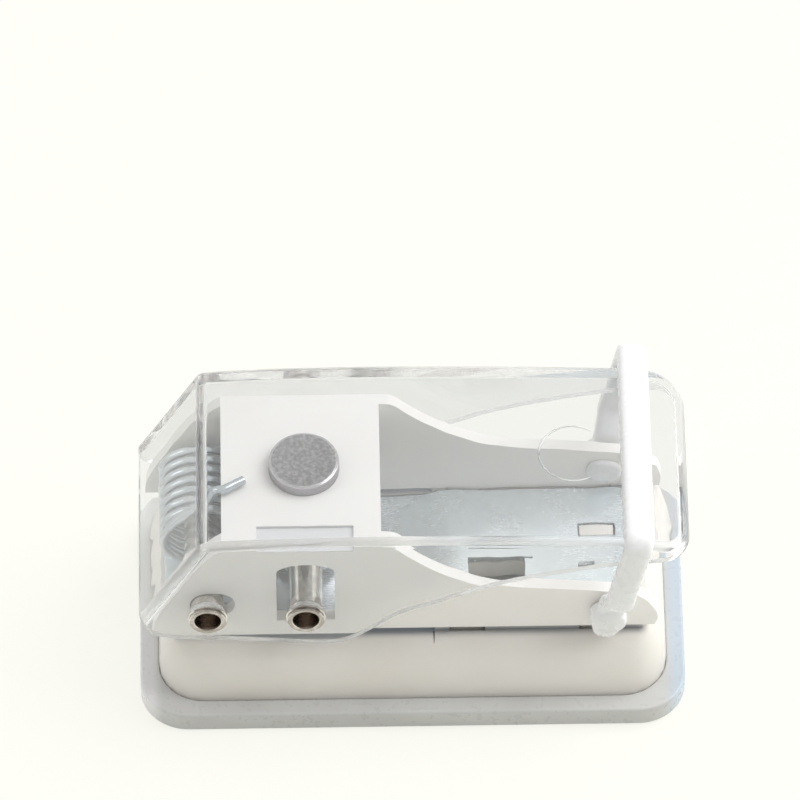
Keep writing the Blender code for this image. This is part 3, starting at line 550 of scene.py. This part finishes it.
finishes = {
    "clear": clearPlastic(),
    "frosted": frostedPlastic(),
    "milky": milkyPlastic(),
    # the white plastic's shade colour is a painted shadow under the rails, the cream plastic's is painted
    # shade in the plate's recess
    "white": satinPlastic("white plastic", (0.85, 0.82, 0.77), (0.82, 0.785, 0.73), 0.40,
                          (0.27, 0.295, 0.33), paintedShades["white"]),
    "cream": satinPlastic("cream plastic", (0.94, 0.92, 0.885), (0.92, 0.895, 0.855), 0.48,
                          (0.76, 0.76, 0.765), paintedShades["cream"]),
    "plated": platedSteel("plated steel", (0.88, 0.94, 0.975), (0.80, 0.86, 0.90), 0.24, (1, 8, 1), 0.72),
    "nickel": nickelPlate(),
    "wire": platedSteel("spring wire", (0.60, 0.65, 0.69), (0.44, 0.49, 0.54), 0.20, (1, 1, 1)),
    "punch": punchSteel(),
}
print("finishes made")


# the clear lever

lever = {
    "rear": -0.0508, "nose": 0.0505, "halfWidth": 0.02075, "wall": 0.002, "bottom": 0.015, "room": 0.056,
    "creaseX": -0.0389, "creaseZ": 0.0485, "rearZ": 0.026, "rearSpare": 0.01,
    "crownX": -0.013, "crownZ": 0.0496, "crownRise": 0.0011, "noseFall": 0.0014, "fallRun": 0.0508,
    "bailX": 0.0359, "bailZ": 0.0237, "bailReach": 0.025,
    "noseCorner": 0.006, "noseSteps": 12, "rim": 0.0013, "innerRim": 0.0005, "rimSteps": 5, "rimAngle": 25,
    "stations": 30, "stationRoom": (0.003, 0.0015), "near": 0.001,
    "pinHole": 0.00325, "ringX": 0.0295, "ringRadius": 0.0062, "ringDepth": 0.00018, "ringSides": 8,
    # the lower cutter's rear, front and foot, and the curved edge that it leaves, in millimetres
    "cutter": (-70.8, 54.5, 10.0),
    "edge": ((-49.65, 26.87), (-48.14, 23.13), (-44.34, 21.56), (-35.93, 21.04), (-24.43, 19.91),
             (-15.58, 19.30), (-12.48, 20.00), (-8.05, 23.30), (-2.57, 28.00), (3.36, 30.76), (11.86, 34.90),
             (18.23, 37.29), (28.94, 40.09), (37.44, 41.80), (44.61, 42.50)),
}


def leverTop(x):
    if x < lever["crownX"]:
        share = (lever["crownX"] - x) / (lever["crownX"] - lever["creaseX"])
        height = lever["crownZ"] - lever["crownRise"] * share ** 2
    else:
        height = lever["crownZ"] - lever["noseFall"] * ((x - lever["crownX"]) / lever["fallRun"]) ** 2
    if x > lever["bailX"]:
        swing = math.sqrt(lever["bailReach"] ** 2 - (x - lever["bailX"]) ** 2)
        height = min(height, lever["bailZ"] + swing)
    return height


def leverForm(name, inset):
    # a block, rounded at the nose, crowned, cut off slantwise at the rear and rounded at its rims
    low = Vector((lever["rear"] - lever["rearSpare"], inset - lever["halfWidth"], lever["bottom"] - inset))
    high = Vector((lever["nose"] - inset, lever["halfWidth"] - inset, lever["room"]))
    bm = cuboid(low, high)
    corners = [edge for edge in bm.edges if upright(edge) and all(vert.co.x > 0 for vert in edge.verts)]
    bmesh.ops.bevel(bm, geom=corners, offset=lever["noseCorner"] - inset, segments=lever["noseSteps"],
                    profile=0.5, affect="EDGES", material=-1)
    behind, ahead = lever["stationRoom"]
    first, last = lever["creaseX"] + behind, lever["nose"] - lever["noseCorner"] - ahead
    for i in range(lever["stations"]):
        x = first + (last - first) * i / (lever["stations"] - 1)
        bmesh.ops.bisect_plane(bm, geom=whole(bm), plane_co=(x, 0, 0), plane_no=(1, 0, 0))
    for vert in bm.verts:
        if vert.co.z > lever["room"] - lever["near"]:
            vert.co.z = leverTop(max(vert.co.x, lever["rear"])) - inset
    slope = Vector((lever["creaseX"] - lever["rear"], 0, lever["creaseZ"] - lever["rearZ"]))
    outward = Vector((-slope.z, 0, slope.x)).normalized()
    crease = Vector((lever["creaseX"], 0, lever["creaseZ"])) - outward * inset
    cut = bmesh.ops.bisect_plane(bm, geom=whole(bm), plane_co=crease, plane_no=outward, clear_outer=True)
    bmesh.ops.contextual_create(bm, geom=only(bmesh.types.BMEdge, cut["geom_cut"]))
    bmesh.ops.remove_doubles(bm, verts=bm.verts, dist=meshing["coarseWeld"])
    bmesh.ops.recalc_face_normals(bm, faces=bm.faces)
    rims = []
    for edge in bm.edges:
        sharp = len(edge.link_faces) == 2 and edge.calc_face_angle() > math.radians(lever["rimAngle"])
        if sharp and (upright(edge) or min(v.co.z for v in edge.verts) > lever["bottom"] + lever["near"]):
            rims.append(edge)
    width = lever["innerRim"] if inset else lever["rim"]
    bmesh.ops.bevel(bm, geom=rims, offset=width, segments=lever["rimSteps"], profile=0.5,
                    affect="EDGES", material=-1)
    return makePiece(name, bm)


def edgeCutter(name):
    # everything below the lever's curved lower edge
    left, right, low = lever["cutter"]
    edge = list(lever["edge"])
    corners = [(right, edge[-1][1]), (right, low), (left, low), (left, edge[0][1])]
    return slab(name, edge + corners, meshing["through"] / 2, range(1, len(edge) - 1))


hazeLimits = {"slant": 0.884, "up": 0.75, "level": 0.03, "side": 0.995, "near": 0.02}     # of a face's normal


def markHaze(piece):
    # the rounded rims and the cut lower edge are a little hazy, the broad walls are clear
    haze = piece.data.attributes.new("haze", "FLOAT", "FACE")
    for face, value in zip(piece.data.polygons, haze.data):
        n, near = face.normal, hazeLimits["near"]
        slanted = abs(abs(n.x) - hazeLimits["slant"]) < near
        along = abs(n.y) < hazeLimits["level"] and (abs(n.z) > hazeLimits["up"] or slanted)
        broad = along or abs(n.y) > hazeLimits["side"] or abs(n.z) < near
        under = abs(n.y) < near and n.z < -near and abs(face.center.y) > lever["halfWidth"] - lever["wall"]
        value.value = 1.0 if under or not broad else 0.0


def buildLever():
    shell = leverForm("clear_lever", 0.0)
    carve(shell, leverForm("hollow", lever["wall"]))
    carve(shell, edgeCutter("underside"))
    for x in pins["x"]:
        carve(shell, rod("pin hole", (x, 0, pins["z"]), lever["pinHole"], meshing["through"]))
    depth, radius, sides = lever["ringDepth"], lever["ringRadius"], lever["ringSides"]
    section = [(depth * math.cos(turn), radius + depth * math.sin(turn))
               for turn in [math.tau * i / sides for i in range(sides)]]
    ring = (lever["ringX"], 0, leverTop(lever["ringX"]))
    carve(shell, turned("moulded ring", section, ring, "Z", meshing["fineSides"]))
    tidyMesh(shell)
    markHaze(shell)
    evenNormals(shell)
    dress(shell, finishes["clear"], "lever", "clear_plastic", "lever_shell")


buildLever()
print("lever built")


# the moulded frame, base and tray, and the pressed plates

rails = {       # lengths in millimetres
    "outline": ((-48.0, 18.8), (-47.6, 22.4), (-44.2, 30.1), (-36.8, 42.7), (-34.9, 44.5), (-5.8, 44.5),
                (-3.3, 44.0), (-1.2, 42.0), (4.4, 37.1), (9.0, 34.3), (13.6, 32.1), (18.5, 30.9),
                (27.0, 30.0), (36.0, 29.0), (39.5, 28.4), (41.8, 27.3), (44.2, 24.1), (45.1, 20.8),
                (44.5, 18.8)),
    "smooth": (1, 2, 3, 6, 7, 8, 9, 10, 11, 12, 13, 14, 15, 16, 17),
    "cavity": ((-52, 14.8), (49.2, 14.8), (49.2, 48.5), (-5.8, 48.5), (-5.8, 41.5), (-34.9, 41.5),
               (-34.9, 48.5), (-52, 48.5)),
    "half": 17.0, "inner": 14.7, "bailHole": 2.0, "arcSteps": 12,
    "bore": (45.0, 10.0, 6.49),      # height, length and radius
    "port": (-19.7, 5.35, 23.0, 37.3, 2.4),      # middle, half width, sill, foot of the arch and its rise
    "slot": (-36.8, 28.0, 0.8, 3.35),      # middle in X and Z, reach and radius
    "recess": ((-28.55, 13.3, 43.9), (-10.85, 22, 49)), "rebate": ((-27.75, -15.5, 14), (-11.65, 15.5, 20.6)),
    "tabX": (10, 34), "tab": ((-3, 14.75, 11.4), (3, 15.5, 20.5)),
    "barb": ((-3, 15.4, 11.4), (3, 16.1, 13.1)), "barbFoot": (0.5, 0.1), "softness": 0.25,
}


def halfTurn(x, z, wide, high, start):
    # points round half an oval, from an angle in quarter turns
    steps = rails["arcSteps"]
    turns = [math.pi / 2 * start + math.pi * i / steps for i in range(steps + 1)]
    return [(x + wide * math.cos(turn), z + high * math.sin(turn)) for turn in turns]


def mirrored(piece, side):
    # the same piece on one side or the other of the middle plane
    bm = bmesh.new()
    bm.from_mesh(piece.data)
    bmesh.ops.scale(bm, verts=bm.verts, vec=(1, side, 1))
    bmesh.ops.recalc_face_normals(bm, faces=bm.faces)
    bm.to_mesh(piece.data)
    bm.free()
    return piece


def buildFrame():
    across = meshing["through"] / 2
    frameBody = slab("cream_frame", rails["outline"], rails["half"] / 1000, rails["smooth"])
    carve(frameBody, slab("cavity", rails["cavity"], rails["inner"] / 1000))
    x, wide, sill, arch, height = rails["port"]
    port = [(x - wide, sill), (x + wide, sill)] + halfTurn(x, arch, wide, height, 0)
    carve(frameBody, slab("ports", port, across))
    x, z, reach, radius = rails["slot"]
    ends = halfTurn(x + reach, z, radius, radius, -1) + halfTurn(x - reach, z, radius, radius, 1)
    carve(frameBody, slab("slots", ends, across))
    z, length, radius = [size / 1000 for size in rails["bore"]]
    carve(frameBody, rod("punch bore", (punch["x"], 0, z), radius, length, "Z", meshing["fineSides"]))
    radius = rails["bailHole"] / 1000
    carve(frameBody, rod("bail holes", (bail["x"], 0, bail["z"]), radius, meshing["through"]))
    carve(frameBody, block("guide rebate", *rails["rebate"]))
    carve(frameBody, mirrored(block("recess", *rails["recess"]), -1))
    reach, kept = rails["barbFoot"]
    for side in (-1, 1):
        for x in rails["tabX"]:
            for part in ("tab", "barb"):
                low, high = [Vector(corner) + Vector((x, 0, 0)) for corner in rails[part]]
                rib = block(part, low, high)
                if part == "barb":      # the barb's foot is drawn in
                    for vert in rib.data.vertices:
                        if vert.co.z < (low.z + reach) / 1000 and vert.co.y > (low.y + reach) / 1000:
                            vert.co.y = (low.y + kept) / 1000
                carve(frameBody, mirrored(rib, side), "UNION")
    tidyMesh(frameBody)
    softenEdges(frameBody, rails["softness"] / 1000)
    dress(frameBody, finishes["cream"], "root", "cream_plastic", "frame")


base = {       # lengths in millimetres
    "underRail": ((3.0, 16.3, 17.02), (44.5, 18, 19)), "tick": ((3.72, -20.5, 16.3), (4.02, -16.5, 17.6)),
    "softness": 0.2,
}


def buildBase():
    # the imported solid, with the gap under each rail and a notch in front
    shell = nodeCopy("base_shell", "white_base")
    for side in (-1, 1):
        carve(shell, mirrored(block("under the rail", *base["underRail"]), side))
    carve(shell, block("parting notch", *base["tick"]))
    tidyMesh(shell)
    softenEdges(shell, base["softness"] / 1000)
    dress(shell, finishes["white"], "root", "white_plastic", "base_shell")


tray = {       # length, width, underside, top and corner in millimetres
    "outside": (101, 52, 0, 4.4, 9.0), "pocket": (93.96, 44.56, 1.2, 9, 8.48), "cornerSteps": 20,
    "softness": 0.5, "softSteps": 4,
}


def roundedBlock(name, length, width, low, high, corner):
    # a block round the middle with rounded upright edges
    bm = cuboid(Vector((-length / 2, -width / 2, low)) / 1000, Vector((length / 2, width / 2, high)) / 1000)
    edges = [edge for edge in bm.edges if upright(edge)]
    bmesh.ops.bevel(bm, geom=edges, offset=corner / 1000, segments=tray["cornerSteps"], profile=0.5,
                    affect="EDGES", material=-1)
    return makePiece(name, bm)


def buildTray():
    dish = roundedBlock("milky_tray", *tray["outside"])
    carve(dish, roundedBlock("pocket", *tray["pocket"]))
    tidyMesh(dish)
    softenEdges(dish, tray["softness"] / 1000, tray["softSteps"])
    dress(dish, finishes["milky"], "tray", "milky_plastic", "chip_tray")


plates = {"bed_plate": ("plated_bed", 0.00012), "guide_plate": ("plated_guide", 0.0001)}
for node, (name, softness) in plates.items():
    piece = nodeCopy(node, name)
    softenEdges(piece, softness)
    dress(piece, finishes["plated"], "root", "plated_steel", node)
print("pressed plates built")


# pins with rolled ends, their washers and the punch
pins["end"] = ((0.0212, 0.0026), (0.0216, 0.00252), (0.02185, 0.00245), (0.02198, 0.0026), (0.02205, 0.00285),
               (0.02205, 0.00315), (0.02201, 0.0033), (0.0219, 0.0034), (0.02176, 0.0034), (0.02167, 0.0033),
               (0.02165, 0.00318), (0.02165, 0.00305))       # from the bore over the rolled lip to the shaft
pins["washer"] = ((0.02095, 0.00325), (0.02095, 0.00362), (0.02103, 0.0037), (0.02134, 0.0037),
                  (0.02145, 0.00358), (0.02145, 0.00325))


def buildPins():
    for name, x in zip(("pivot", "drive"), pins["x"]):
        centre = (x, 0, pins["z"])
        profile = list(pins["end"]) + [(-y, radius) for y, radius in reversed(pins["end"])]
        pin = turned(f"nickel_{name}_pin", profile, centre)
        dress(pin, finishes["nickel"], "lever", "nickel", f"{name}_pin")
        for side, end in ((-1, "front"), (1, "back")):
            profile = [(side * y, radius) for y, radius in pins["washer"]]
            washer = turned(f"{name}_rolled_washer_{end}", profile, centre)
            dress(washer, finishes["nickel"], "lever", "nickel", f"{name}_washer_{end}")


def buildPunch():
    top, tip, shoulder = punch["top"], punch["tip"], punch["shoulder"]
    body, cutter = punch["body"], punch["cutter"]
    chamfer, fillet = punch["chamfer"], punch["fillet"]
    profile = [(top, 0.0), (top, punch["sawn"])]
    profile += [(top + over, body - inside) for over, inside in punch["rim"]]
    profile += [(shoulder + chamfer, body), (shoulder, body - chamfer), (shoulder, cutter + fillet),
                (shoulder - fillet, cutter), (tip, cutter), (tip, 0.0)]
    piece = turned("steel_punch", profile, (punch["x"], 0, 0), "Z", meshing["fineSides"])
    centre = (punch["x"], 0, punch["z"])
    carve(piece, rod("cross hole", centre, punch["crossHole"], meshing["through"] / 2))
    wedge = bmesh.new()
    bmesh.ops.create_cube(wedge, size=punch["notch"])
    bmesh.ops.rotate(wedge, verts=wedge.verts, matrix=Matrix.Rotation(math.radians(45), 3, "Y"))
    bmesh.ops.scale(wedge, verts=wedge.verts, vec=punch["notchStretch"])
    bmesh.ops.translate(wedge, verts=wedge.verts, vec=(punch["x"], 0, tip - punch["notchDrop"]))
    carve(piece, makePiece("cutter notch", wedge))
    tidyMesh(piece)
    dress(piece, finishes["punch"], "punch", "punch_steel", "punch")


buildPins()
buildPunch()
print("pins and punch built")


# the wound spring: a short leg on the bed, the coil, and a long leg over the plate
spring = {
    "x": -0.0377, "z": 0.028, "radius": 0.0069, "wire": 0.0017, "farY": 0.01325, "pitch": 0.0023,
    "turns": 7, "exit": 120, "pointsPerTurn": 30, "runSteps": 6, "wireSteps": 4, "capAngle": 60,
    "capEdge": 0.00022,
    "foot": ((-28.1, 13.25, 18.15), (-29.8, 13.25, 18.15), (-31.5, 13.25, 18.15), (-33.05, 13.25, 19.035),
             (-35.22, 13.25, 20.805)),
    "leg": ((-42.83, -3.62, 32.92), (-37.6, -5.62, 42.0), (-36.3, -5.62, 44.6), (-35.5, -5.62, 45.59),
            (-34.41, -5.62, 45.72), (-32.51, -4.52, 45.72), (-30.61, -3.42, 45.72)),
}


def smoothRun(points, steps):
    # a smooth run through the points, with the ends drawn straight on
    points = [Vector(point) / 1000 for point in points]
    padded = [points[0] * 2 - points[1], *points, points[-1] * 2 - points[-2]]
    run = []
    for a, b, c, d in zip(padded, padded[1:], padded[2:], padded[3:]):
        slope, bend, twist = c - a, a * 2 - b * 5 + c * 4 - d, b * 3 - a - c * 3 + d
        for t in [i / steps for i in range(steps)]:
            run.append(b + (slope * t + bend * t ** 2 + twist * t ** 3) / 2)
    return run + [points[-1]]


def buildSpring():
    coil, radius = [], spring["radius"]
    total = spring["turns"] + spring["exit"] / 360
    count = round(total * spring["pointsPerTurn"])
    for i in range(count + 1):
        turn = math.tau * total * i / count
        x, z = spring["x"] - radius * math.sin(turn), spring["z"] - radius * math.cos(turn)
        coil.append(Vector((x, spring["farY"] - spring["pitch"] * turn / math.tau, z)))
    start, end = tuple(coil[0] * 1000), tuple(coil[-1] * 1000)
    lower = smoothRun(spring["foot"] + (start,), spring["runSteps"])
    upper = smoothRun((end,) + spring["leg"], spring["runSteps"])
    route = lower[:-1] + coil + upper[1:]
    curve = bpy.data.curves.new("wire_spring", "CURVE")
    curve.dimensions, curve.bevel_depth, curve.use_fill_caps = "3D", spring["wire"] / 2, True
    curve.bevel_resolution = spring["wireSteps"]
    line = curve.splines.new("POLY")
    line.points.add(len(route) - 1)
    for point, spot in zip(line.points, route):
        point.co = (*spot, 1)
    bm = curveMesh("wire_spring", curve)
    sharp = math.radians(spring["capAngle"])
    caps = [edge for edge in bm.edges if len(edge.link_faces) == 2 and edge.calc_face_angle() > sharp]
    bmesh.ops.bevel(bm, geom=caps, offset=spring["capEdge"], segments=3, profile=0.5,
                    affect="EDGES", material=-1)
    bmesh.ops.recalc_face_normals(bm, faces=bm.faces)
    piece = makePiece("wire_spring", bm)
    piece.data.materials.append(finishes["wire"])
    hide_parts("torsion_spring")
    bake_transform(piece)


buildSpring()
print("spring wound")


# the frosted bail: one bent bar with rounded feet, bosses and stubs
bail = {
    "x": 0.0359, "z": 0.0237, "lean": 10.7, "footY": 0.01885, "legY": 0.0228, "bar": 0.0273, "bend": 0.002,
    "leg": (0.0052, 0.003), "barSection": (0.0056, 0.0035), "flare": (0.00402, 0.01005),
    "flareSteps": 10, "bendSteps": 10, "sides": 32, "roundness": 0.62, "sharp": 50,
    "toe": ((-0.0050, 0.22, 0.3), (-0.00488, 0.42, 0.55), (-0.0045, 0.64, 0.78), (-0.0038, 0.85, 0.93),
            (-0.0028, 1, 1)),      # place along the leg, and shares of its width and thickness
    "boss": ((0.0173, 0.0), (0.0173, 0.0031), (0.01745, 0.00335), (0.0196, 0.00335), (0.0201, 0.0032),
             (0.0204, 0.0028), (0.0204, 0.0)),
    "stub": ((0.0137, 0.0), (0.0137, 0.0024), (0.0139, 0.003), (0.0143, 0.0032), (0.01465, 0.0032),
             (0.01465, 0.0017), (0.0185, 0.0017), (0.0185, 0.0)),
}


def bailFrame(along, y, turn, width, thickness):
    # where a section of the bar lies: its width runs with the lever, its path up the leg or across
    lean = math.radians(bail["lean"])
    up = Vector((math.sin(lean), 0, math.cos(lean)))
    across = Vector((math.cos(lean), 0, -math.sin(lean)))
    outward = Vector((0, math.cos(turn), 0)) + up * math.sin(turn)
    heading = across.cross(outward)
    centre = Vector((bail["x"], y, bail["z"])) + up * along
    turnTo = Matrix((across, outward, heading)).transposed().to_4x4()
    return Matrix.Translation(centre) @ turnTo @ Matrix.Diagonal((width, thickness, 1, 1))


def bailStations():
    width, thickness = bail["leg"]
    stations = [(along, bail["footY"], 0, width * a, thickness * b) for along, a, b in bail["toe"]]
    start, end = bail["flare"]
    shift = bail["legY"] - bail["footY"]
    lean = math.atan2(shift, end - start)
    for i in range(bail["flareSteps"] + 1):
        share = i / bail["flareSteps"]
        ease = share * share * (3 - 2 * share)
        stations.append((start + (end - start) * share, bail["footY"] + shift * ease,
                         -lean * math.sin(math.pi * share), width, thickness))
    for i in range(bail["bendSteps"] + 1):
        share = i / bail["bendSteps"]
        turn = math.pi / 2 * share
        sizes = [a + (b - a) * share for a, b in zip(bail["leg"], bail["barSection"])]
        along = bail["bar"] - bail["bend"] * (1 - math.sin(turn))
        y = bail["legY"] - bail["bend"] * (1 - math.cos(turn))
        stations.append((along, y, turn, *sizes))
    stations.append((bail["bar"], 0.0, math.pi / 2, *bail["barSection"]))
    return stations


def buildBail():
    bm = bmesh.new()
    bmesh.ops.create_circle(bm, cap_ends=True, segments=bail["sides"], radius=0.5)
    for vert in bm.verts:       # between a circle and a rounded oblong
        vert.co.x, vert.co.y = [math.copysign(abs(2 * c) ** bail["roundness"], c) / 2 for c in vert.co.xy]
    frames = [bailFrame(*station) for station in bailStations()]
    bmesh.ops.transform(bm, matrix=frames[0], verts=bm.verts)
    end = bm.faces[:]
    for i, (last, following) in enumerate(zip(frames, frames[1:])):
        grown = bmesh.ops.extrude_face_region(bm, geom=end)["geom"]
        if i > 0:       # only the first face stays, as the toe's end
            bmesh.ops.delete(bm, geom=end, context="FACES_ONLY")
        end = only(bmesh.types.BMFace, grown)
        verts = only(bmesh.types.BMVert, grown)
        bmesh.ops.transform(bm, matrix=following @ last.inverted(), verts=verts)
    bmesh.ops.delete(bm, geom=end, context="FACES_ONLY")
    bmesh.ops.mirror(bm, geom=whole(bm), merge_dist=meshing["coarseWeld"], axis="Y")
    bmesh.ops.remove_doubles(bm, verts=bm.verts, dist=meshing["fineWeld"])
    bmesh.ops.recalc_face_normals(bm, faces=bm.faces)
    piece = makePiece("frosted_bail", bm)
    centre = (bail["x"], 0, bail["z"])
    for side in (-1, 1):
        for part in ("boss", "stub"):
            carve(piece, turned(part, [(side * y, radius) for y, radius in bail[part]], centre), "UNION")
    tidyMesh(piece, bail["sharp"], closeUp=False)
    dress(piece, finishes["frosted"], "catch", "frosted_plastic", "catch_bail")


buildBail()
print("bail built")

buildFrame()
buildBase()
buildTray()
print("frame, base and tray built")
